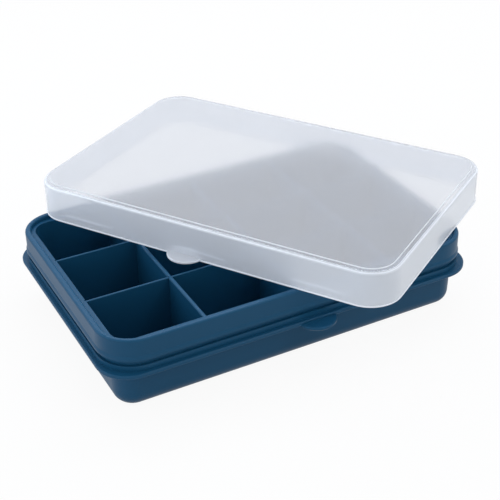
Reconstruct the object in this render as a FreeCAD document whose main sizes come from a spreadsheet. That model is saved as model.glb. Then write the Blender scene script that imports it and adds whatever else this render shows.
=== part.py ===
"""Lunch box: a navy tray with four columns, eight lift-out dividers and a frosted lid.

The origin is the middle of the tray's flat bottom. X runs along the long side, Y away
from the front (the side with the tray's thumb tab), Z up. The sheet holds millimetres
and degrees; each size is written there once and everything else follows from it.
"""

import FreeCAD
import Part

import math
import os

import Sketcher

SIZES = [
    # the tray's outside, from the bottom up
    ("flange_length", "250", "flange, end to end"),
    ("flange_width", "167", "flange, front to back"),
    ("flange_radius", "21", "flange corners in plan"),
    ("flange_top", "30.2", "ledge that the closed lid's skirt stands on"),
    ("flange_thickness", "2.6", "flange, top to bottom"),
    ("flange_nose", "0.6", "bevel along both edges of the flange"),
    ("tray_height", "51.2", "rim above the table"),
    ("collar_setback", "2.8", "collar face behind the flange's edge"),
    ("collar_radius", "23", "collar corners in plan"),
    ("ridge_height", "3.4", "plain band between the ledge and the snap groove"),
    ("groove_height", "3.6", "snap groove, top to bottom"),
    ("groove_depth", "1.6", "snap groove behind the collar face"),
    ("bead_proud", "0.6", "bead above the groove, in front of the collar face"),
    ("bead_height", "1.4", "bead's upright face"),
    ("bead_slope", "1.8", "bead's run-out into the collar face"),
    ("rim_width", "4.0", "rim, outer to inner face"),
    ("rim_radius", "17", "rim's inner corners in plan"),
    ("rim_round", "1.4", "rounding of both rim edges"),
    ("deck_drop", "3.0", "inner ledge and partition tops below the rim"),
    ("body_setback", "8.2", "lower body behind the flange's edge"),
    ("body_radius", "13", "lower body's corners under the flange"),
    ("body_draft", "1.5", "lean of the lower body's sides"),
    ("foot_round", "9", "rounding of the bottom edge"),
    # the tray's inside
    ("wall", "2.0", "tray wall"),
    ("collar_wall", "2.8", "wall of the collar, in front of the hollow behind it"),
    ("floor_thickness", "2.2", "tray floor"),
    ("well_draft", "1.0", "lean of the inner walls"),
    ("column_pitch", "61.6", "from partition to partition"),
    ("partition_thickness", "2.4", "long partition"),
    ("partition_bevel", "0.5", "bevel along the partition tops"),
    ("row_offset", "25.3", "divider rows in front of and behind the middle"),
    ("slot_depth", "0.6", "divider slot in a partition's side"),
    ("slot_end", "12", "lower end of the slots above the table"),
    # the dividers
    ("divider_thickness", "1.4", "divider plate"),
    ("divider_drop", "0.3", "divider top below the partition tops"),
    ("divider_play", "0.2", "divider to slot, each side of the plate"),
    ("divider_gap", "0.3", "divider's edges to slot end, walls and floor"),
    ("divider_corner", "1.5", "divider's lower corners beside a partition"),
    ("divider_bevel", "0.3", "bevel of the divider's top edges"),
    # the thumb tabs
    ("tab_radius", "12.5", "half-round thumb tabs"),
    ("tab_inset", "3.5", "centre of a tab's arc behind the edge it stands on"),
    ("tab_offset", "8", "tray's tab, to the right of the middle"),
    ("tab_top", "28.6", "upper face of the tray's tab"),
    ("tab_thickness", "2.2", "tray's tab"),
    ("tab_bevel", "0.6", "bevel of the tray tab's edges"),
    ("lid_tab_offset", "10", "lid's tab, to the left of the middle"),
    ("lid_tab_thickness", "1.6", "lid's tab"),
    ("lid_tab_bevel", "0.4", "bevel of the lid tab's edges"),
    # the lid
    ("lid_setback", "1.0", "lid's skirt behind the flange's edge when closed"),
    ("lid_height", "22.9", "lid, skirt edge to the band round its panel"),
    ("lid_wall", "1.2", "lid's skirt"),
    ("lid_panel", "1.4", "lid's top panel"),
    ("lid_band", "4.0", "band round the raised panel"),
    ("panel_rise", "0.6", "panel above the band"),
    ("lid_round", "2.0", "rounding of the lid's top edge"),
    ("panel_bevel", "0.4", "bevel along the panel's edge"),
    ("lip_proud", "0.5", "lip along the skirt's edge, in front of the skirt"),
    ("lip_height", "1.0", "lip, top to bottom"),
    ("lip_bevel", "0.4", "bevel of the lip's upper edge"),
    ("snap_length", "36", "one snap bead"),
    ("snap_pitch", "81", "from bead to bead along a long skirt"),
    ("snap_level", "5.4", "middle of the beads above the skirt's edge"),
    ("snap_radius", "0.9", "half-round section of the beads"),
    # how the lid lies on the rim
    ("lid_x", "28", "lid's middle, to the right"),
    ("lid_y", "22.8", "lid's middle, to the back"),
    ("lid_turn", "-57", "lid's turn about the upright"),
    ("lid_rest_gap", "0.2", "skirt edge above the rim"),
    # what follows from the sizes above
    ("flange_bottom", "=flange_top - flange_thickness", ""),
    ("foot_setback", "=body_setback + flange_bottom * tan(body_draft * 1deg)", ""),
    ("foot_length", "=flange_length - 2 * foot_setback", ""),
    ("foot_width", "=flange_width - 2 * foot_setback", ""),
    ("foot_radius", "=body_radius + body_setback - foot_setback", ""),
    ("collar_length", "=flange_length - 2 * collar_setback", ""),
    ("collar_width", "=flange_width - 2 * collar_setback", ""),
    ("groove_bottom", "=flange_top + ridge_height", ""),
    ("neck_setback", "=collar_setback + groove_depth", ""),
    ("neck_length", "=flange_length - 2 * neck_setback", ""),
    ("neck_width", "=flange_width - 2 * neck_setback", ""),
    ("neck_radius", "=collar_radius - groove_depth", ""),
    ("bead_bottom", "=groove_bottom + groove_height", ""),
    ("bead_setback", "=collar_setback - bead_proud", ""),
    ("bead_length", "=flange_length - 2 * bead_setback", ""),
    ("bead_width", "=flange_width - 2 * bead_setback", ""),
    ("bead_radius", "=collar_radius + bead_proud", ""),
    ("bead_top", "=bead_bottom + bead_height", ""),
    ("bead_lean", "=-1 * atan(bead_proud / bead_slope) / 1deg", ""),
    ("collar_bottom", "=bead_top + bead_slope", ""),
    ("collar_height", "=tray_height - collar_bottom", ""),
    ("rim_setback", "=collar_setback + rim_width", ""),
    ("rim_inner_length", "=flange_length - 2 * rim_setback", ""),
    ("rim_inner_width", "=flange_width - 2 * rim_setback", ""),
    ("deck_level", "=tray_height - deck_drop", ""),
    ("hollow_setback", "=collar_setback + collar_wall", ""),
    ("hollow_length", "=flange_length - 2 * hollow_setback", ""),
    ("hollow_width", "=flange_width - 2 * hollow_setback", ""),
    ("hollow_radius", "=collar_radius - collar_wall", ""),
    ("hollow_depth", "=deck_level - wall - flange_bottom", ""),
    ("body_length", "=flange_length - 2 * body_setback", ""),
    ("body_width", "=flange_width - 2 * body_setback", ""),
    ("well_setback", "=body_setback + wall", ""),
    ("well_length", "=flange_length - 2 * well_setback", ""),
    ("well_width", "=flange_width - 2 * well_setback", ""),
    ("well_radius", "=body_radius - wall", ""),
    ("well_depth", "=deck_level - floor_thickness", ""),
    ("well_lean", "=-1 * well_draft", ""),
    ("well_round", "=foot_round - wall", ""),
    ("partition_root", "=floor_thickness / 2", ""),
    ("partition_height", "=deck_level - partition_root", ""),
    ("partition_reach", "=well_width + wall", ""),
    ("partition_first", "=-column_pitch", ""),
    ("partition_run", "=2 * column_pitch", ""),
    ("inner_clear", "=column_pitch - partition_thickness", ""),
    ("outer_clear", "=well_length / 2 - column_pitch - partition_thickness / 2", ""),
    ("column_4", "=well_length / 2 - outer_clear / 2", ""),
    ("column_3", "=column_pitch / 2", ""),
    ("column_2", "=-column_3", ""),
    ("column_1", "=-column_4", ""),
    ("row_back", "=row_offset", ""),
    ("row_front", "=-row_offset", ""),
    ("inner_slot", "=inner_clear + 2 * slot_depth", ""),
    ("outer_slot", "=outer_clear + 2 * slot_depth", ""),
    ("slot_width", "=divider_thickness + 2 * divider_play", ""),
    ("slot_run", "=deck_level - slot_end", ""),
    ("inner_tongue", "=inner_slot / 2 - divider_gap", ""),
    ("outer_tongue", "=outer_slot / 2 - divider_gap", ""),
    ("well_lead", "=well_depth * tan(well_draft * 1deg)", ""),
    ("inner_foot", "=inner_clear / 2 - divider_gap", ""),
    ("outer_foot", "=outer_clear / 2 - divider_gap", ""),
    ("wall_foot", "=outer_foot - well_lead", ""),
    ("divider_bottom", "=floor_thickness + divider_gap", ""),
    ("divider_step", "=slot_end + divider_gap", ""),
    ("divider_top", "=deck_level - divider_drop", ""),
    ("tab_bottom", "=tab_top - tab_thickness", ""),
    ("tab_y", "=tab_inset - flange_width / 2", ""),
    ("tab_chord", "=hollow_setback - tab_inset", ""),
    ("lid_length", "=flange_length - 2 * lid_setback", ""),
    ("lid_width", "=flange_width - 2 * lid_setback", ""),
    ("lid_radius", "=flange_radius - lid_setback", ""),
    ("lid_inner_length", "=lid_length - 2 * lid_wall", ""),
    ("lid_inner_width", "=lid_width - 2 * lid_wall", ""),
    ("lid_inner_radius", "=lid_radius - lid_wall", ""),
    ("lid_top", "=lid_height + panel_rise", ""),
    ("lid_inner_height", "=lid_top - lid_panel", ""),
    ("lid_inner_bevel", "=lid_round - lid_wall", ""),
    ("panel_length", "=lid_length - 2 * lid_band", ""),
    ("panel_width", "=lid_width - 2 * lid_band", ""),
    ("panel_radius", "=lid_radius - lid_band", ""),
    ("lip_length", "=lid_length + 2 * lip_proud", ""),
    ("lip_width", "=lid_width + 2 * lip_proud", ""),
    ("lip_radius", "=lid_radius + lip_proud", ""),
    ("lid_tab_x", "=-lid_tab_offset", ""),
    ("lid_tab_y", "=tab_inset - lid_width / 2", ""),
    ("lid_tab_chord", "=lid_wall / 2 - tab_inset", ""),
    ("snap_start", "=-snap_pitch - snap_length / 2", ""),
    ("snap_run", "=2 * snap_pitch", ""),
    ("lid_level", "=tray_height + lid_rest_gap", ""),
    ("table", "0", "level of the tray's bottom and of the lid's own skirt edge"),
    ("middle", "0", "middle of the tray and of the lid"),
]

CLOSE = 0.02

doc = FreeCAD.newDocument("lunch_box")
sheet = doc.addObject("Spreadsheet::Sheet", "sizes")
for row, (alias, text, note) in enumerate(SIZES, start=1):
    sheet.set("A%d" % row, alias)
    sheet.set("B%d" % row, text)
    sheet.set("C%d" % row, note)
    sheet.setAlias("B%d" % row, alias)
doc.recompute()


def size(alias):
    """The sheet's value, as a plain number."""
    value = sheet.get(alias)
    return float(getattr(value, "Value", value))


def bind(thing, target, alias):
    thing.setExpression(target, "sizes." + alias)


def new_body(name):
    body = doc.addObject("PartDesign::Body", name)
    body.Label = name
    return body


def new_sketch(body, name, plane, level, x="middle", y="middle"):
    """A sketch parallel to one of the body's own planes."""
    sketch = body.newObject("Sketcher::SketchObject", body.Name + "_" + name)
    base = [part for part in body.Origin.OriginFeatures if part.Role == plane][0]
    sketch.AttachmentSupport = [(base, "")]
    sketch.MapMode = "FlatFace"
    bind(sketch, ".AttachmentOffset.Base.x", x)
    bind(sketch, ".AttachmentOffset.Base.y", y)
    bind(sketch, ".AttachmentOffset.Base.z", level)
    return sketch


def measure(sketch, alias, kind, *where):
    """A dimension of the sketch, tied to the sheet."""
    index = sketch.addConstraint(Sketcher.Constraint(kind, *where, size(alias)))
    bind(sketch, "Constraints[%d]" % index, alias)


def tie(sketch, kind, *where):
    sketch.addConstraint(Sketcher.Constraint(kind, *where))


def line(sketch, start, end):
    begin = FreeCAD.Vector(start[0], start[1], 0)
    finish = FreeCAD.Vector(end[0], end[1], 0)
    return sketch.addGeometry(Part.LineSegment(begin, finish))


def arc(sketch, centre, radius, start, end):
    circle = Part.Circle(FreeCAD.Vector(centre[0], centre[1], 0), FreeCAD.Vector(0, 0, 1), radius)
    return sketch.addGeometry(Part.ArcOfCircle(circle, math.radians(start), math.radians(end)))


def outline(sketch, length, width, radius):
    """A rounded rectangle about the sketch's own middle."""
    x = size(length) / 2
    y = size(width) / 2
    r = size(radius)
    front = line(sketch, (r - x, -y), (x - r, -y))
    front_right = arc(sketch, (x - r, r - y), r, 270, 360)
    right = line(sketch, (x, r - y), (x, y - r))
    back_right = arc(sketch, (x - r, y - r), r, 0, 90)
    back = line(sketch, (x - r, y), (r - x, y))
    back_left = arc(sketch, (r - x, y - r), r, 90, 180)
    left = line(sketch, (-x, y - r), (-x, r - y))
    front_left = arc(sketch, (r - x, r - y), r, 180, 270)
    way_round = [front, front_right, right, back_right, back, back_left, left, front_left]
    for here, there in zip(way_round, way_round[1:] + way_round[:1]):
        tie(sketch, "Tangent", here, 2, there, 1)
    tie(sketch, "Horizontal", front)
    tie(sketch, "Horizontal", back)
    tie(sketch, "Vertical", right)
    tie(sketch, "Vertical", left)
    tie(sketch, "Equal", front_right, back_right)
    tie(sketch, "Equal", back_right, back_left)
    tie(sketch, "Equal", back_left, front_left)
    tie(sketch, "Symmetric", front_right, 3, back_left, 3, -1, 1)
    measure(sketch, length, "DistanceX", left, 1, right, 1)
    measure(sketch, width, "DistanceY", front, 1, back, 1)
    measure(sketch, radius, "Radius", front_right)


def rounded(body, name, level, length, width, radius, x="middle", y="middle"):
    sketch = new_sketch(body, name, "XY_Plane", level, x, y)
    outline(sketch, length, width, radius)
    return sketch


def rectangle(body, name, level, length, width, x, y):
    sketch = new_sketch(body, name, "XY_Plane", level, x, y)
    half_x = size(length) / 2
    half_y = size(width) / 2
    front = line(sketch, (-half_x, -half_y), (half_x, -half_y))
    right = line(sketch, (half_x, -half_y), (half_x, half_y))
    back = line(sketch, (half_x, half_y), (-half_x, half_y))
    left = line(sketch, (-half_x, half_y), (-half_x, -half_y))
    for here, there in ((front, right), (right, back), (back, left), (left, front)):
        tie(sketch, "Coincident", here, 2, there, 1)
    tie(sketch, "Horizontal", front)
    tie(sketch, "Horizontal", back)
    tie(sketch, "Vertical", right)
    tie(sketch, "Vertical", left)
    tie(sketch, "Symmetric", front, 1, back, 1, -1, 1)
    measure(sketch, length, "DistanceX", front, 1, front, 2)
    measure(sketch, width, "DistanceY", right, 1, right, 2)
    return sketch


def thumb_tab(body, name, level, x, y, chord):
    """A disc cut off straight at the edge it stands on."""
    sketch = new_sketch(body, name, "XY_Plane", level, x, y)
    r = size("tab_radius")
    cut = size(chord)
    half = math.sqrt(r * r - cut * cut)
    angle = math.degrees(math.atan2(cut, half))
    edge = line(sketch, (half, cut), (-half, cut))
    bow = arc(sketch, (0, 0), r, 180 - angle, 360 + angle)
    tie(sketch, "Coincident", edge, 2, bow, 1)
    tie(sketch, "Coincident", bow, 2, edge, 1)
    tie(sketch, "Coincident", bow, 3, -1, 1)
    tie(sketch, "Horizontal", edge)
    measure(sketch, "tab_radius", "Radius", bow)
    measure(sketch, chord, "DistanceY", -1, 1, edge, 1)
    return sketch


def settle(feature):
    doc.recompute()
    if "Invalid" in feature.State:
        raise RuntimeError(feature.Name + ": " + feature.getStatusString())
    return feature


def pad(body, name, sketch, length, lean=None, both_ways=False):
    feature = body.newObject("PartDesign::Pad", body.Name + "_" + name)
    feature.Profile = sketch
    bind(feature, "Length", length)
    if lean:
        bind(feature, "TaperAngle", lean)
    if both_ways:
        feature.SideType = "Symmetric"
    return settle(feature)


def pocket(body, name, sketch, length, lean=None, upward=False):
    before = body.Shape.Volume
    feature = body.newObject("PartDesign::Pocket", body.Name + "_" + name)
    feature.Profile = sketch
    feature.Reversed = upward
    bind(feature, "Length", length)
    if lean:
        bind(feature, "TaperAngle", lean)
    settle(feature)
    if before - body.Shape.Volume < 1.0:
        raise RuntimeError(feature.Name + " cuts nothing")
    return feature


def dress(body, kind, name, chosen):
    """A fillet or chamfer on those edges of the body's last feature that the test picks."""
    base = body.Tip
    names = []
    for number, edge in enumerate(base.Shape.Edges, start=1):
        if chosen(edge):
            names.append("Edge%d" % number)
    if not names:
        raise RuntimeError(name + " finds no edge")
    feature = body.newObject("PartDesign::" + kind, body.Name + "_" + name)
    feature.Base = (base, names)
    return feature


def fillet(body, name, radius, chosen):
    feature = dress(body, "Fillet", name, chosen)
    bind(feature, "Radius", radius)
    return settle(feature)


def bevel(body, name, breadth, chosen):
    feature = dress(body, "Chamfer", name, chosen)
    bind(feature, "Size", breadth)
    return settle(feature)


def in_a_row(body, name, first, run, count):
    """Repeats a feature along X, the first and last the given run apart."""
    row = body.newObject("PartDesign::LinearPattern", body.Name + "_" + name)
    row.Originals = [first]
    along = [part for part in body.Origin.OriginFeatures if part.Role == "X_Axis"][0]
    row.Direction = (along, [""])
    row.Occurrences = count
    bind(row, "Length", run)
    body.Tip = row
    return settle(row)


def level_of(edge):
    """Height of a level edge, or None."""
    box = edge.BoundBox
    if box.ZLength > CLOSE:
        return None
    return (box.ZMin + box.ZMax) / 2


def lies_at(edge, level):
    height = level_of(edge)
    return height is not None and abs(height - size(level)) < CLOSE


def on_ring(level, length, width):
    """Picks the edges of a rounded rectangle at one height."""
    half_x = size(length) / 2
    half_y = size(width) / 2

    def chosen(edge):
        if not lies_at(edge, level):
            return False
        for vertex in edge.Vertexes:
            on_end = abs(abs(vertex.X) - half_x) < CLOSE
            on_side = abs(abs(vertex.Y) - half_y) < CLOSE
            if not (on_end or on_side):
                return False
        return True

    return chosen


def either(*tests):
    return lambda edge: any(test(edge) for test in tests)


def on_bow(levels, x, y):
    """Picks a thumb tab's curved edges."""

    def chosen(edge):
        if not any(lies_at(edge, level) for level in levels):
            return False
        if not isinstance(edge.Curve, Part.Circle):
            return False
        centre = edge.Curve.Center
        return abs(centre.x - size(x)) < CLOSE and abs(centre.y - size(y)) < CLOSE

    return chosen


def make_tray():
    body = new_body("tray")

    foot = rounded(body, "foot_plan", "table", "foot_length", "foot_width", "foot_radius")
    pad(body, "foot", foot, "flange_bottom", "body_draft")
    flange = rounded(body, "flange_plan", "flange_bottom", "flange_length", "flange_width", "flange_radius")
    pad(body, "flange", flange, "flange_thickness")
    nose = either(
        on_ring("flange_bottom", "flange_length", "flange_width"),
        on_ring("flange_top", "flange_length", "flange_width"),
    )
    bevel(body, "flange_edges", "flange_nose", nose)
    tab = thumb_tab(body, "tab_plan", "tab_bottom", "tab_offset", "tab_y", "tab_chord")
    pad(body, "tab", tab, "tab_thickness")
    bevel(body, "tab_edge", "tab_bevel", on_bow(("tab_bottom", "tab_top"), "tab_offset", "tab_y"))

    ridge = rounded(body, "ridge_plan", "flange_top", "collar_length", "collar_width", "collar_radius")
    pad(body, "ridge", ridge, "ridge_height")
    neck = rounded(body, "neck_plan", "groove_bottom", "neck_length", "neck_width", "neck_radius")
    pad(body, "neck", neck, "groove_height")
    bead = rounded(body, "bead_plan", "bead_bottom", "bead_length", "bead_width", "bead_radius")
    pad(body, "bead", bead, "bead_height")
    slope = rounded(body, "slope_plan", "bead_top", "bead_length", "bead_width", "bead_radius")
    pad(body, "slope", slope, "bead_slope", "bead_lean")
    collar = rounded(body, "collar_plan", "collar_bottom", "collar_length", "collar_width", "collar_radius")
    pad(body, "collar", collar, "collar_height")

    mouth = rounded(body, "mouth_plan", "tray_height", "rim_inner_length", "rim_inner_width", "rim_radius")
    pocket(body, "mouth", mouth, "deck_drop")
    rim = either(
        on_ring("tray_height", "collar_length", "collar_width"),
        on_ring("tray_height", "rim_inner_length", "rim_inner_width"),
    )
    fillet(body, "rim_edges", "rim_round", rim)

    hollow = rounded(body, "hollow_plan", "flange_bottom", "hollow_length", "hollow_width", "hollow_radius")
    outline(hollow, "body_length", "body_width", "body_radius")
    pocket(body, "hollow", hollow, "hollow_depth", upward=True)

    well = rounded(body, "well_plan", "deck_level", "well_length", "well_width", "well_radius")
    pocket(body, "well", well, "well_depth", "well_lean")
    fillet(body, "well_floor", "well_round", lambda edge: lies_at(edge, "floor_thickness"))
    plan = rectangle(
        body,
        "partition_plan",
        "partition_root",
        "partition_thickness",
        "partition_reach",
        "partition_first",
        "middle",
    )
    first = pad(body, "partition", plan, "partition_height")
    in_a_row(body, "partitions", first, "partition_run", 3)

    def partition_top(edge):
        if not lies_at(edge, "deck_level"):
            return False
        across = abs(edge.Vertexes[0].X - edge.Vertexes[-1].X)
        near = max(abs(vertex.X) for vertex in edge.Vertexes) < size("column_pitch") + size("partition_thickness")
        return across < CLOSE and near

    bevel(body, "partition_tops", "partition_bevel", partition_top)
    fillet(body, "foot_edge", "foot_round", lambda edge: lies_at(edge, "table"))

    for column, clear in COLUMNS.items():
        for row in ROWS:
            name = "slot_" + column + "_" + row
            plan = rectangle(body, name + "_plan", "deck_level", clear + "_slot", "slot_width", column, "row_" + row)
            pocket(body, name, plan, "slot_run")
    return body


def divider_outline(sketch, tongue, left, right):
    """A plate with a tongue down each side; left and right give each lower corner's reach and radius."""
    wide = size(tongue)
    low = size("divider_bottom")
    step = size("divider_step")
    high = size("divider_top")
    left_reach = size(left[0])
    left_round = size(left[1])
    right_reach = size(right[0])
    right_round = size(right[1])
    bottom = line(sketch, (left_round - left_reach, low), (right_reach - right_round, low))
    right_corner = arc(sketch, (right_reach - right_round, low + right_round), right_round, 270, 360)
    right_side = line(sketch, (right_reach, low + right_round), (right_reach, step))
    right_step = line(sketch, (right_reach, step), (wide, step))
    right_tongue = line(sketch, (wide, step), (wide, high))
    top = line(sketch, (wide, high), (-wide, high))
    left_tongue = line(sketch, (-wide, high), (-wide, step))
    left_step = line(sketch, (-wide, step), (-left_reach, step))
    left_side = line(sketch, (-left_reach, step), (-left_reach, low + left_round))
    left_corner = arc(sketch, (left_round - left_reach, low + left_round), left_round, 180, 270)
    tie(sketch, "Tangent", bottom, 2, right_corner, 1)
    tie(sketch, "Tangent", right_corner, 2, right_side, 1)
    straight = [right_side, right_step, right_tongue, top, left_tongue, left_step, left_side]
    for here, there in zip(straight, straight[1:]):
        tie(sketch, "Coincident", here, 2, there, 1)
    tie(sketch, "Tangent", left_side, 2, left_corner, 1)
    tie(sketch, "Tangent", left_corner, 2, bottom, 1)
    for level in (bottom, right_step, top, left_step):
        tie(sketch, "Horizontal", level)
    for upright in (right_side, right_tongue, left_tongue, left_side):
        tie(sketch, "Vertical", upright)
    measure(sketch, left[0], "DistanceX", left_side, 1, -1, 1)
    measure(sketch, right[0], "DistanceX", -1, 1, right_side, 2)
    measure(sketch, tongue, "DistanceX", -1, 1, right_tongue, 1)
    measure(sketch, tongue, "DistanceX", left_tongue, 1, -1, 1)
    measure(sketch, "divider_bottom", "DistanceY", -1, 1, bottom, 1)
    measure(sketch, "divider_step", "DistanceY", -1, 1, right_step, 1)
    measure(sketch, "divider_step", "DistanceY", -1, 1, left_step, 1)
    measure(sketch, "divider_top", "DistanceY", -1, 1, top, 1)
    measure(sketch, left[1], "Radius", left_corner)
    measure(sketch, right[1], "Radius", right_corner)


def make_divider(column, clear, row):
    body = new_body("divider_" + column[-1] + "_" + row)
    face = new_sketch(body, "face", "XZ_Plane", "middle")
    by_partition = (clear + "_foot", "divider_corner")
    by_wall = ("wall_foot", "well_round")
    left = by_wall if column == "column_1" else by_partition
    right = by_wall if column == "column_4" else by_partition
    divider_outline(face, clear + "_tongue", left, right)
    pad(body, "plate", face, "divider_thickness", both_ways=True)

    def top_edge(edge):
        return lies_at(edge, "divider_top") and edge.Length > size("divider_thickness") + CLOSE

    bevel(body, "top_edges", "divider_bevel", top_edge)
    body.Placement.Base = FreeCAD.Vector(size(column), size("row_" + row), 0)
    return body


def make_lid():
    body = new_body("lid")
    plan = rounded(body, "plan", "table", "lid_length", "lid_width", "lid_radius")
    pad(body, "block", plan, "lid_height")
    fillet(body, "top_edge", "lid_round", lambda edge: lies_at(edge, "lid_height"))
    panel = rounded(body, "panel_plan", "lid_height", "panel_length", "panel_width", "panel_radius")
    pad(body, "panel", panel, "panel_rise")
    bevel(body, "panel_edge", "panel_bevel", on_ring("lid_top", "panel_length", "panel_width"))
    lip = rounded(body, "lip_plan", "table", "lip_length", "lip_width", "lip_radius")
    pad(body, "lip", lip, "lip_height")
    bevel(body, "lip_edge", "lip_bevel", on_ring("lip_height", "lip_length", "lip_width"))
    inside = rounded(body, "inside_plan", "table", "lid_inner_length", "lid_inner_width", "lid_inner_radius")
    pocket(body, "inside", inside, "lid_inner_height", upward=True)
    bevel(body, "inside_edge", "lid_inner_bevel", lambda edge: lies_at(edge, "lid_inner_height"))

    tab = thumb_tab(body, "tab_plan", "table", "lid_tab_x", "lid_tab_y", "lid_tab_chord")
    pad(body, "tab", tab, "lid_tab_thickness")
    bevel(body, "tab_edge", "lid_tab_bevel", on_bow(("table", "lid_tab_thickness"), "lid_tab_x", "lid_tab_y"))

    profile = new_sketch(body, "snap_profile", "YZ_Plane", "snap_start")
    half = size("lid_inner_width") / 2
    for side in (-half, half):
        middle = FreeCAD.Vector(side, size("snap_level"), 0)
        profile.addGeometry(Part.Circle(middle, FreeCAD.Vector(0, 0, 1), size("snap_radius")))
    tie(profile, "Symmetric", 0, 3, 1, 3, -2)
    tie(profile, "Equal", 0, 1)
    measure(profile, "lid_inner_width", "DistanceX", 0, 3, 1, 3)
    measure(profile, "snap_level", "DistanceY", -1, 1, 0, 3)
    measure(profile, "snap_radius", "Radius", 0)
    first = pad(body, "snap", profile, "snap_length")
    in_a_row(body, "snaps", first, "snap_run", 3)

    turn = FreeCAD.Rotation(FreeCAD.Vector(0, 0, 1), size("lid_turn"))
    base = FreeCAD.Vector(size("lid_x"), size("lid_y"), size("lid_level"))
    body.Placement = FreeCAD.Placement(base, turn)
    return body


# each column's place on the sheet, and which of the two widths it has
COLUMNS = {"column_1": "outer", "column_2": "inner", "column_3": "inner", "column_4": "outer"}
ROWS = ("front", "back")

pieces = [make_tray()]
for column, clear in COLUMNS.items():
    for row in ROWS:
        pieces.append(make_divider(column, clear, row))
pieces.append(make_lid())
doc.recompute()

for thing in doc.Objects:
    if "Invalid" in thing.State or "Error" in thing.State:
        raise RuntimeError(thing.Name + " did not build: " + str(thing.State))
os.makedirs("parts", exist_ok=True)
for piece in pieces:
    shape = piece.Shape
    if shape.isNull() or not shape.isValid() or len(shape.Solids) != 1:
        raise RuntimeError(piece.Label + " is not one sound solid")
    shape.exportStep("parts/" + piece.Label + ".step")
    print(piece.Label, round(shape.Volume / 1000, 2), "cm3", shape.BoundBox)
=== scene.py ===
"""Looks of the lunch box: a navy tray with lift-out dividers and a frosted lid lying askew on it.

Everything is in metres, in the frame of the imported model: the origin is the middle of the
tray's bottom, X runs along the long side, Y to the back and Z up.
"""

import math

import bpy
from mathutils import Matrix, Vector


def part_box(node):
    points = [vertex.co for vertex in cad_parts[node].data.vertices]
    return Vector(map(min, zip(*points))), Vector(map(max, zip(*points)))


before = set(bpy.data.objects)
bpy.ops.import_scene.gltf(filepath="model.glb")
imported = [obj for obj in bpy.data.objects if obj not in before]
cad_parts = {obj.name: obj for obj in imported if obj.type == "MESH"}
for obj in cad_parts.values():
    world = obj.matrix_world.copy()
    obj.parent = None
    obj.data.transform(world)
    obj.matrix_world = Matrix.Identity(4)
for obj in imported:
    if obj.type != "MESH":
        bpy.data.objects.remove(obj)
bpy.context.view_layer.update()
scene = bpy.context.scene
scene.view_settings.view_transform = "Standard"

MM = 0.001


def linear(code):
    """An sRGB hex colour as linear RGBA."""
    parts = [int(code[i : i + 2], 16) / 255 for i in (1, 3, 5)]
    bent = [p / 12.92 if p <= 0.04045 else ((p + 0.055) / 1.055) ** 2.4 for p in parts]
    return (*bent, 1.0)


def add(tree, kind, settings=None, inputs=None, links=None):
    """A node with its settings, its fixed inputs and the sockets that feed it.

    A Mix node's numbers are its inputs 2 and 3, and its colours are its inputs 6 and 7.
    """
    made = tree.nodes.new(kind)
    for name, value in (settings or {}).items():
        setattr(made, name, value)
    for name, value in (inputs or {}).items():
        made.inputs[name].default_value = value
    for name, source in (links or {}).items():
        tree.links.new(source, made.inputs[name])
    return made


def new_material(name):
    material = bpy.data.materials.new(name)
    material.use_nodes = True
    material.node_tree.nodes.clear()
    return material, material.node_tree


# Both plastics are polypropylene, with a shallow grain from the mould.
POLYPROPYLENE_IOR = 1.49
GRAIN_DEPTH = 0.05 * MM

# Injection-moulded polypropylene, dyed navy: a satin skin with soft, wide highlights, slightly
# cloudy in colour where the melt flowed, and a fine spark-eroded grain from the mould. The real
# grain is about 0.1 mm and would not show, so it is drawn at 0.6 mm.
NAVY = "#144868"
NAVY_CLOUD = "#134462"
NAVY_CLOUD_SIZE = 30 * MM
NAVY_GRAIN_SIZE = 0.6 * MM
NAVY_GRAIN_STRENGTH = 0.06
NAVY_ROUGHNESS = (0.35, 0.43)
NAVY_SHINE = 0.15


def navy_polypropylene():
    material, tree = new_material("navy_polypropylene")
    place = add(tree, "ShaderNodeTexCoord")
    cloud = add(
        tree,
        "ShaderNodeTexNoise",
        inputs={"Scale": 1 / NAVY_CLOUD_SIZE, "Detail": 3.0, "Roughness": 0.55},
        links={"Vector": place.outputs["Object"]},
    )
    colour = add(
        tree,
        "ShaderNodeMix",
        {"data_type": "RGBA"},
        {6: linear(NAVY), 7: linear(NAVY_CLOUD)},
        {"Factor": cloud.outputs["Fac"]},
    )
    grain = add(
        tree,
        "ShaderNodeTexNoise",
        inputs={"Scale": 1 / NAVY_GRAIN_SIZE, "Detail": 2.0},
        links={"Vector": place.outputs["Object"]},
    )
    gloss = add(
        tree,
        "ShaderNodeMapRange",
        inputs={"To Min": NAVY_ROUGHNESS[0], "To Max": NAVY_ROUGHNESS[1]},
        links={"Value": cloud.outputs["Fac"]},
    )
    bump = add(
        tree,
        "ShaderNodeBump",
        inputs={"Strength": NAVY_GRAIN_STRENGTH, "Distance": GRAIN_DEPTH},
        links={"Height": grain.outputs["Fac"]},
    )
    skin = add(
        tree,
        "ShaderNodeBsdfPrincipled",
        inputs={"IOR": POLYPROPYLENE_IOR, "Specular IOR Level": NAVY_SHINE},
        links={
            "Base Color": colour.outputs[2],
            "Roughness": gloss.outputs["Result"],
            "Normal": bump.outputs["Normal"],
        },
    )
    add(tree, "ShaderNodeOutputMaterial", links={"Surface": skin.outputs["BSDF"]})
    return material


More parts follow.
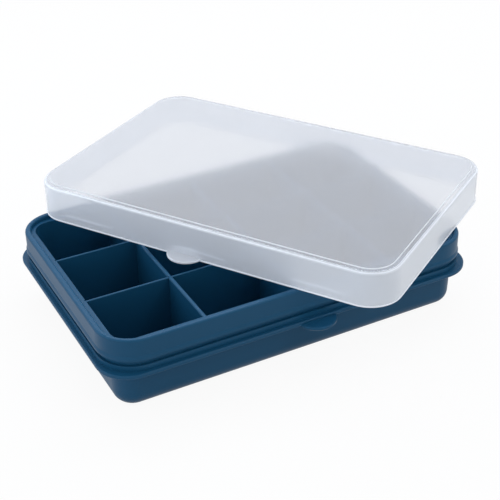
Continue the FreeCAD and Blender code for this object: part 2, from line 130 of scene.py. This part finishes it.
# Natural polypropylene, blasted matt in the mould: milk-white and faintly blue. The flat panel is
# the clearest, so what lies under it shows as soft shapes. The skirt is cloudier. The panel is
# coloured greyer than the skirt: painted shade on the brightly lit top and painted light on the
# upright skirt. The rounded edges are drawn less clear than the skirt, so they show whiter: painted
# light lines along the lid's edges. The lip, the snap beads and the tab are thick, so they are drawn
# nearly white; on the lip and the beads this whiteness is also painted light, a light line along
# the skirt's bottom edge and light dashes at the beads. The real grain is about 0.1 mm and would
# not show, so it is drawn at 0.8 mm.
FROST_PANEL_PAINTED_SHADE = "#d8d9dc"
FROST_SKIRT_PAINTED_LIGHT = "#eaeef4"
FROST_MILK_AND_PAINTED_LIGHT = "#e6eaf0"
FROST_CLOUD_SIZE = 22 * MM
FROST_GRAIN_SIZE = 0.8 * MM
FROST_GRAIN_STRENGTH = 0.012
FROST_ROUGHNESS = (0.135, 0.165)
FROST_SHINE = 0.06

# How much a wall lets through, by how level it lies: 0 is the upright skirt, 1 the flat panel.
# Between them come the rounded edge and the panel's bevel. The dip to 0.30 on the rounded edge
# paints light lines along the lid's edges.
FROST_CLEARNESS_AND_EDGE_HIGHLIGHTS = [
    (0.0, 0.46),
    (0.60, 0.46),
    (0.67, 0.30),
    (0.76, 0.30),
    (0.85, 0.58),
    (0.92, 0.78),
]
# Clearness of the thick places; on the lip and the beads their whiteness is painted light.
MILK_AND_PAINTED_LIGHT_CLEARNESS = 0.05
PANEL_STARTS = 0.80
PANEL_FULL = 0.92

# Heights at which the lid's thick places lie. The beads slope and the skirt round them doesn't.
LIP_LEVEL = 51.4 * MM
LIP_HEIGHT = 1.0 * MM
TAB_TOP = LIP_LEVEL + 2.6 * MM
TAB_MILK = 0.5
SNAP_LEVEL = LIP_LEVEL + 5.4 * MM
SNAP_REACH = 1.2 * MM
SNAP_SLOPE = 0.15

# The thin lid casts little shadow: this share of the lamps' light goes straight through it.
LAMPLIGHT_THROUGH = 0.8
LAMPLIGHT_TINT = "#f5f7fa"


def met_from_outside(tree, place):
    """1 on faces of the lid that are met from outside, 0 on those met from inside."""
    low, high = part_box("lid")
    middle = ((low[0] + high[0]) / 2, (low[1] + high[1]) / 2, LIP_LEVEL + LIP_HEIGHT)
    from_middle = add(
        tree,
        "ShaderNodeVectorMath",
        {"operation": "SUBTRACT"},
        {1: middle},
        {0: place.outputs["Object"]},
    )
    outward = add(
        tree,
        "ShaderNodeVectorMath",
        {"operation": "DOT_PRODUCT"},
        links={0: from_middle.outputs["Vector"], 1: place.outputs["Normal"]},
    )
    return add(
        tree,
        "ShaderNodeMath",
        {"operation": "GREATER_THAN"},
        {1: 0.0},
        {0: outward.outputs["Value"]},
    ).outputs[0]


def milky_and_painted_light_places(tree, place, level, panel):
    """1 on the lip and the snap beads, less on the tab and 0 on the rest of the lid. On the lip and
    beads it paints light lines.
    """
    spot = add(tree, "ShaderNodeSeparateXYZ", links={"Vector": place.outputs["Object"]})
    height = spot.outputs["Z"]
    lip = add(
        tree,
        "ShaderNodeMapRange",
        {"interpolation_type": "SMOOTHSTEP"},
        {"From Min": LIP_LEVEL + LIP_HEIGHT, "From Max": LIP_LEVEL + LIP_HEIGHT / 2},
        {"Value": height},
    )
    at_snaps = add(
        tree,
        "ShaderNodeMath",
        {"operation": "COMPARE"},
        {1: SNAP_LEVEL, 2: SNAP_REACH},
        {0: height},
    )
    sloping = add(tree, "ShaderNodeMath", {"operation": "GREATER_THAN"}, {1: SNAP_SLOPE}, {0: level})
    snap = add(
        tree,
        "ShaderNodeMath",
        {"operation": "MULTIPLY"},
        links={0: at_snaps.outputs[0], 1: sloping.outputs[0]},
    )
    lip_or_snap = add(
        tree,
        "ShaderNodeMath",
        {"operation": "MAXIMUM"},
        links={0: lip.outputs["Result"], 1: snap.outputs[0]},
    )
    at_tab = add(tree, "ShaderNodeMath", {"operation": "LESS_THAN"}, {1: TAB_TOP}, {0: height})
    tab = add(
        tree,
        "ShaderNodeMath",
        {"operation": "MULTIPLY"},
        links={0: at_tab.outputs[0], 1: panel},
    )
    tab_share = add(
        tree,
        "ShaderNodeMath",
        {"operation": "MULTIPLY"},
        {1: TAB_MILK},
        {0: tab.outputs[0]},
    )
    return add(
        tree,
        "ShaderNodeMath",
        {"operation": "MAXIMUM"},
        links={0: lip_or_snap.outputs[0], 1: tab_share.outputs[0]},
    ).outputs[0]


def frosted_polypropylene():
    material, tree = new_material("frosted_polypropylene")
    place = add(tree, "ShaderNodeTexCoord")
    cloud = add(
        tree,
        "ShaderNodeTexNoise",
        inputs={"Scale": 1 / FROST_CLOUD_SIZE, "Detail": 2.0},
        links={"Vector": place.outputs["Object"]},
    )
    grain = add(
        tree,
        "ShaderNodeTexNoise",
        inputs={"Scale": 1 / FROST_GRAIN_SIZE, "Detail": 2.0},
        links={"Vector": place.outputs["Object"]},
    )
    gloss = add(
        tree,
        "ShaderNodeMapRange",
        inputs={"To Min": FROST_ROUGHNESS[0], "To Max": FROST_ROUGHNESS[1]},
        links={"Value": cloud.outputs["Fac"]},
    )
    bump = add(
        tree,
        "ShaderNodeBump",
        inputs={"Strength": FROST_GRAIN_STRENGTH, "Distance": GRAIN_DEPTH},
        links={"Height": grain.outputs["Fac"]},
    )

    facing = add(tree, "ShaderNodeSeparateXYZ", links={"Vector": place.outputs["Normal"]})
    level = add(
        tree,
        "ShaderNodeMath",
        {"operation": "ABSOLUTE"},
        links={0: facing.outputs["Z"]},
    )
    panel = add(
        tree,
        "ShaderNodeMapRange",
        {"interpolation_type": "SMOOTHSTEP"},
        {"From Min": PANEL_STARTS, "From Max": PANEL_FULL},
        {"Value": level.outputs[0]},
    )
    # On the lip and the beads this mask paints light: a light line along the skirt's bottom edge and
    # light dashes at the beads.
    milky_and_painted_light = milky_and_painted_light_places(tree, place, level.outputs[0], panel.outputs["Result"])
    # The ramp's dip on the rounded edge paints light lines along the lid's edges.
    clearness = add(tree, "ShaderNodeValToRGB", links={"Fac": level.outputs[0]})
    stops = clearness.color_ramp.elements
    stops.remove(stops[1])
    for spot, share in FROST_CLEARNESS_AND_EDGE_HIGHLIGHTS:
        stop = stops.new(spot) if spot else stops[0]
        stop.color = (share, share, share, 1.0)
    outer_wall = add(
        tree,
        "ShaderNodeMix",
        {"data_type": "FLOAT"},
        {3: MILK_AND_PAINTED_LIGHT_CLEARNESS},
        {"Factor": milky_and_painted_light, 2: clearness.outputs["Color"]},
    )
    # A face met from inside is quite clear, so that each wall clouds the view once and not twice.
    wall_clearness = add(
        tree,
        "ShaderNodeMix",
        {"data_type": "FLOAT"},
        {2: 1.0},
        {"Factor": met_from_outside(tree, place), 3: outer_wall.outputs[0]},
    )
    # The panel's greyer colour and the skirt's whiter one are painted shade on the lit top and
    # painted light on the skirt.
    wall_painted_light_and_shade = add(
        tree,
        "ShaderNodeMix",
        {"data_type": "RGBA"},
        {6: linear(FROST_SKIRT_PAINTED_LIGHT), 7: linear(FROST_PANEL_PAINTED_SHADE)},
        {"Factor": panel.outputs["Result"]},
    )
    colour = add(
        tree,
        "ShaderNodeMix",
        {"data_type": "RGBA"},
        {7: linear(FROST_MILK_AND_PAINTED_LIGHT)},
        {"Factor": milky_and_painted_light, 6: wall_painted_light_and_shade.outputs[2]},
    )
    skin = add(
        tree,
        "ShaderNodeBsdfPrincipled",
        inputs={"IOR": POLYPROPYLENE_IOR, "Specular IOR Level": FROST_SHINE},
        links={
            "Base Color": colour.outputs[2],
            "Roughness": gloss.outputs["Result"],
            "Normal": bump.outputs["Normal"],
            "Transmission Weight": wall_clearness.outputs[0],
        },
    )

    ray = add(tree, "ShaderNodeLightPath")
    passing = add(
        tree,
        "ShaderNodeMath",
        {"operation": "MULTIPLY"},
        {1: LAMPLIGHT_THROUGH},
        {0: ray.outputs["Is Shadow Ray"]},
    )
    through = add(tree, "ShaderNodeBsdfTransparent", inputs={"Color": linear(LAMPLIGHT_TINT)})
    wall = add(
        tree,
        "ShaderNodeMixShader",
        links={0: passing.outputs[0], 1: skin.outputs["BSDF"], 2: through.outputs["BSDF"]},
    )
    add(tree, "ShaderNodeOutputMaterial", links={"Surface": wall.outputs["Shader"]})
    return material


navy = navy_polypropylene()
frost = frosted_polypropylene()
for name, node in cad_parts.items():
    node.data.materials.clear()
    node.data.materials.append(frost if name == "lid" else navy)


# The camera stands where the photograph was taken from. It was fitted to the object's outline.
VIEW_TURN = math.radians(-29.418)
VIEW_RISE = math.radians(31.615)
VIEW_DISTANCE = 726.25 * MM
VIEW_TARGET = Vector((28.265, -6.073, 25.0)) * MM
VIEW_LENS = 79.793
VIEW_SENSOR = 36.0
VIEW_SHIFT = (-0.07, 0.012)
VIEW_NEAREST = 10 * MM

to_camera = Vector(
    (
        math.sin(VIEW_TURN) * math.cos(VIEW_RISE),
        -math.cos(VIEW_TURN) * math.cos(VIEW_RISE),
        math.sin(VIEW_RISE),
    )
)
lens = bpy.data.cameras.new("camera")
lens.lens = VIEW_LENS
lens.sensor_width = VIEW_SENSOR
lens.shift_x, lens.shift_y = VIEW_SHIFT
lens.clip_start = VIEW_NEAREST
camera = bpy.data.objects.new("camera", lens)
camera.location = VIEW_TARGET + to_camera * VIEW_DISTANCE
camera.rotation_euler = to_camera.to_track_quat("Z", "Y").to_euler()
scene.collection.objects.link(camera)
scene.camera = camera


def shows_white(tree):
    """1 for the rays that should meet a plain white background."""
    ray = add(tree, "ShaderNodeLightPath")
    seen = add(
        tree,
        "ShaderNodeMath",
        {"operation": "MAXIMUM"},
        links={0: ray.outputs["Is Camera Ray"], 1: ray.outputs["Is Glossy Ray"]},
    )
    return add(
        tree,
        "ShaderNodeMath",
        {"operation": "MAXIMUM"},
        links={0: seen.outputs[0], 1: ray.outputs["Is Transmission Ray"]},
    ).outputs[0]


# A white floor that keeps a faint shadow under the object. It lies a little below the tray's
# bottom, so that the two faces don't share one plane.
WHITE = "#ffffff"
FLOOR_PAINT = "#d0d0d0"
FLOOR_SPREAD = 6.0
FLOOR_LEVEL = -0.1 * MM
FLOOR_GLOW = 0.93


def white_floor():
    material, tree = new_material("white_floor")
    paint = add(tree, "ShaderNodeBsdfDiffuse", inputs={"Color": linear(FLOOR_PAINT)})
    glow = add(tree, "ShaderNodeEmission", inputs={"Color": linear(WHITE), "Strength": 1.0})
    share = add(
        tree,
        "ShaderNodeMath",
        {"operation": "MULTIPLY"},
        {1: FLOOR_GLOW},
        {0: shows_white(tree)},
    )
    mixed = add(
        tree,
        "ShaderNodeMixShader",
        links={0: share.outputs[0], 1: paint.outputs["BSDF"], 2: glow.outputs["Emission"]},
    )
    add(tree, "ShaderNodeOutputMaterial", links={"Surface": mixed.outputs["Shader"]})
    return material


bpy.ops.mesh.primitive_plane_add(size=FLOOR_SPREAD, location=(0, 0, FLOOR_LEVEL))
floor = bpy.context.object
floor.name = "floor"
floor.data.materials.append(white_floor())

# The room's own light on the object, below the white that is seen behind it.
ROOM_LIGHT = 0.74

world = bpy.data.worlds.new("studio")
scene.world = world
world.use_nodes = True
sky = world.node_tree
sky.nodes.clear()
strength = add(
    sky,
    "ShaderNodeMapRange",
    inputs={"To Min": ROOM_LIGHT, "To Max": 1.0},
    links={"Value": shows_white(sky)},
)
studio = add(
    sky,
    "ShaderNodeBackground",
    inputs={"Color": linear(WHITE)},
    links={"Strength": strength.outputs["Result"]},
)
add(sky, "ShaderNodeOutputWorld", links={"Surface": studio.outputs["Background"]})


def soft_box(name, place, aim_height, size, watts, tint):
    """A lamp that faces the middle of the object at the given height."""
    light = bpy.data.lights.new(name, "AREA")
    light.color = linear(tint)[:3]
    light.shape = "RECTANGLE"
    light.size, light.size_y = size
    light.energy = watts
    lamp = bpy.data.objects.new(name, light)
    lamp.location = place
    away = Vector(place) - Vector((0, 0, aim_height))
    lamp.rotation_euler = away.to_track_quat("Z", "Y").to_euler()
    scene.collection.objects.link(lamp)


# Broad soft boxes, so that the lid mirrors them faintly. The top and back ones light the lid and
# the rim, the left one brightens the short end and the long skirt, and the front one fills in.
COOL_WHITE = "#e9f2ff"
COOLER_WHITE = "#e6f1ff"
soft_box("top", (0.10, 0.25, 1.00), 30 * MM, size=(1.1, 0.8), watts=4.6, tint=COOL_WHITE)
soft_box("back", (0.32, 0.58, 0.92), 30 * MM, size=(1.5, 0.4), watts=6.9, tint=COOL_WHITE)
soft_box("left", (-0.85, 0.12, 0.31), 40 * MM, size=(1.5, 0.55), watts=2.9, tint=COOLER_WHITE)
soft_box("front", (0.42, -0.53, 0.74), 30 * MM, size=(0.4, 0.3), watts=1.0, tint=WHITE)
